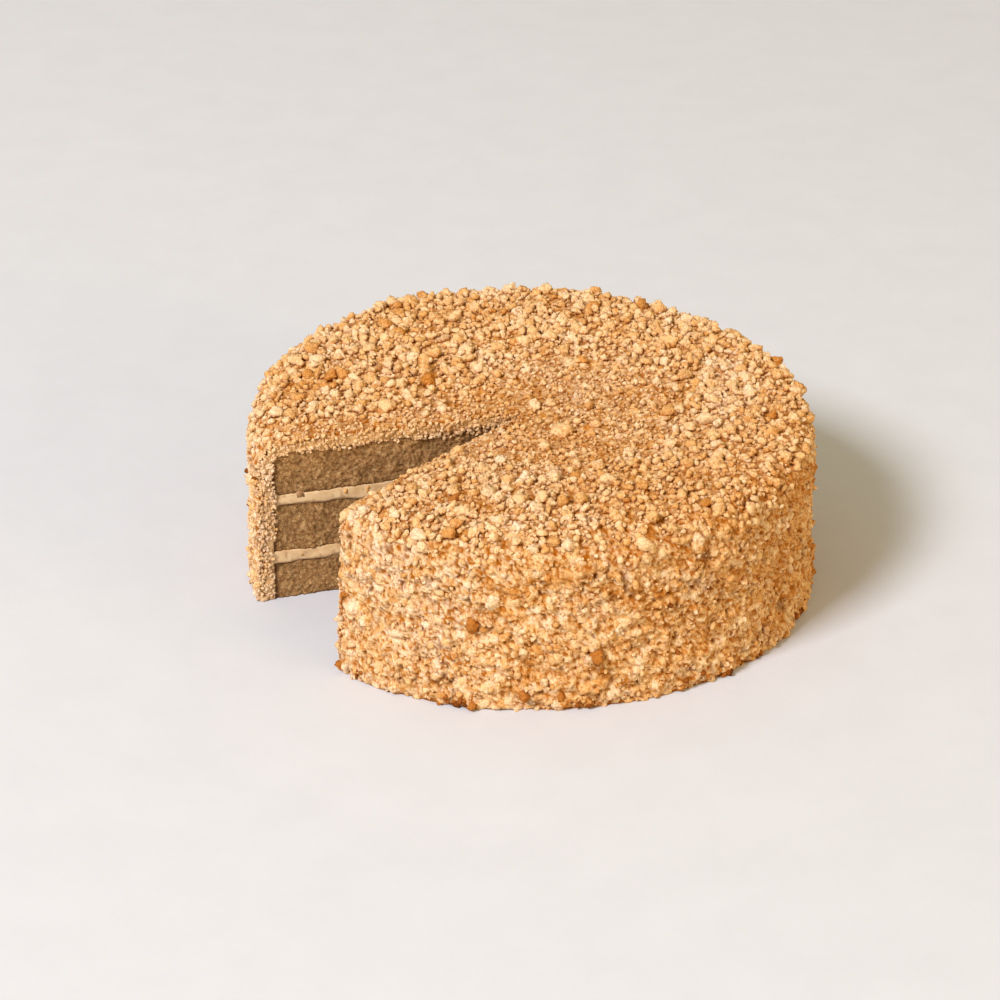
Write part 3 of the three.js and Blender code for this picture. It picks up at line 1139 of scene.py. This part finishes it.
def add_area_light(name, azimuth, elevation, distance, size, watts, colour):
    """A square soft light that faces the cake from an azimuth and an elevation."""
    data = bpy.data.lights.new(name, "AREA")
    data.size = size
    data.energy = watts
    data.color = colour
    light = bpy.data.objects.new(name, data)
    bpy.context.scene.collection.objects.link(light)
    tilt = math.radians(elevation)
    back = Vector(polar(math.cos(tilt), math.sin(tilt), azimuth))
    light.location = LIGHT_TARGET + back * distance
    light.rotation_euler = (-back).to_track_quat("-Z", "Y").to_euler()


def add_world(colour, strength):
    world = bpy.data.worlds.new("soft_room")
    bpy.context.scene.world = world
    world.use_nodes = True
    background = world.node_tree.nodes["Background"]
    background.inputs["Color"].default_value = colour
    background.inputs["Strength"].default_value = strength


def add_floor(material):
    corners = FLOOR_REACH * np.array([[-1, -1, 0], [1, -1, 0], [1, 1, 0], [-1, 1, 0]])
    new_object("floor", corners, [[0, 1, 2, 3]], {}, material)


# ---- Putting it together ----


def add_piece(piece, slot, *replaced):
    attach(piece, "root")
    if replaced:
        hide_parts(*replaced)


def build_layers():
    kinds = {
        "sponge": (sponge_relief, sponge_values, sponge_material()),
        "cream": (cream_relief, cream_values, cream_material("caramel_cream", "EFD0A0", "D9AE78")),
    }
    for index, (node, (low, high)) in enumerate(layer_faces().items()):
        slot = node.split("_")[0]
        add_piece(cut_block(node + "_cut", low, high, 100 + 20 * index, *kinds[slot]), slot, node)


def build_filling_pieces():
    rng = np.random.default_rng(SEED + 4)
    fruit = filling_pieces(spacing=21.0, size_range=(5.0, 8.0), lift_range=(-1.5, 1.5), rng=rng)
    caramel = filling_pieces(spacing=19.0, size_range=(1.6, 3.2), lift_range=(-2.8, -0.8), rng=rng)
    for name, pieces, material in (
        ("fruit_pieces", fruit, smooth_material("date_brown", "7E5434", "A67A4C", 0.6)),
        ("caramel_bits", caramel, smooth_material("amber_caramel", "B97C3A", "DDA55A", 0.45)),
    ):
        piece = joined_crumbs(name, pieces, detail=2, lobes=3, breaks=2, rng=rng, material=material)
        add_piece(piece, "cream")


def build_coat():
    crumb = crumb_material("golden_crumb", GOLDEN)
    browned = crumb_material("browned_crumb", BROWNED)
    core = [
        core_top(crumb),
        core_side("crumb_core_left", NEAR_CUT, MIDDLE_AZIMUTH, crumb),
        core_side("crumb_core_right", MIDDLE_AZIMUTH, FAR_CUT, crumb),
    ]
    rng = np.random.default_rng(SEED + 3)
    fine = loose_crumbs(2.1, lambda rough, side: 0.54 - 0.34 * side, (1.0, 2.1), 0.27, rng)
    medium = loose_crumbs(
        2.9, lambda rough, side: (0.06 + 0.4 * rough) * (1 - 0.75 * side), (2.0, 3.4), 0.3, rng
    )
    large = loose_crumbs(
        7.5, lambda rough, side: (0.03 + 0.36 * rough) * (1 - 0.85 * side), (3.8, 5.2), 0.36, rng
    )
    pressed = loose_crumbs(5.5, lambda rough, side: 0.36 * side, (2.6, 4.4), 0.5, rng)
    for name, crumbs, detail, lobes, breaks, material in (
        ("fine_crumbs", fine, 1, 4, 5, crumb),
        ("strip_crumbs", strip_crumbs(rng), 1, 4, 5, crumb),
        ("medium_crumbs", medium, 2, 4, 7, crumb),
        ("large_crumbs", large, 3, 8, 9, crumb),
        ("side_crumbs", pressed, 2, 4, 3, crumb),
        ("pale_lumps", placed_crumbs(PALE_LUMPS, tone=0.12, bury=0.7), 3, 5, 5, crumb),
        ("big_lumps", placed_crumbs(BIG_LUMPS, tone=0.42, bury=0.35), 3, 9, 3, crumb),
        ("browned_lumps", placed_crumbs(BROWNED_LUMPS, tone=0.3, bury=0.48), 3, 6, 7, browned),
        ("browned_bits", browned_bits(rng), 2, 4, 5, browned),
    ):
        core.append(joined_crumbs(name, crumbs, detail, lobes, breaks, rng, material))
    for piece in core:
        add_piece(piece, "crumb", "crumb_coat")


add_camera()
build_layers()
build_filling_pieces()
# The frosting's colours are darker than the filling's cream: partly its own stains from the crumbs, partly
# painted shade of the band under the hanging crumbs.
add_piece(frosting_piece(cream_material("thin_frosting", "E2BC86", "C08F54")), "frosting", "frosting")
build_coat()
add_floor(floor_material())
add_world(colour=(1.0, 0.90, 0.68, 1), strength=0.56)
add_area_light("key", azimuth=226, elevation=41, distance=5.0, size=1.3, watts=302, colour=(0.98, 1.0, 1.12))
add_area_light("fill", azimuth=325, elevation=14, distance=3.0, size=1.1, watts=34, colour=(1.0, 0.70, 0.26))
bpy.context.scene.view_settings.view_transform = "Standard"
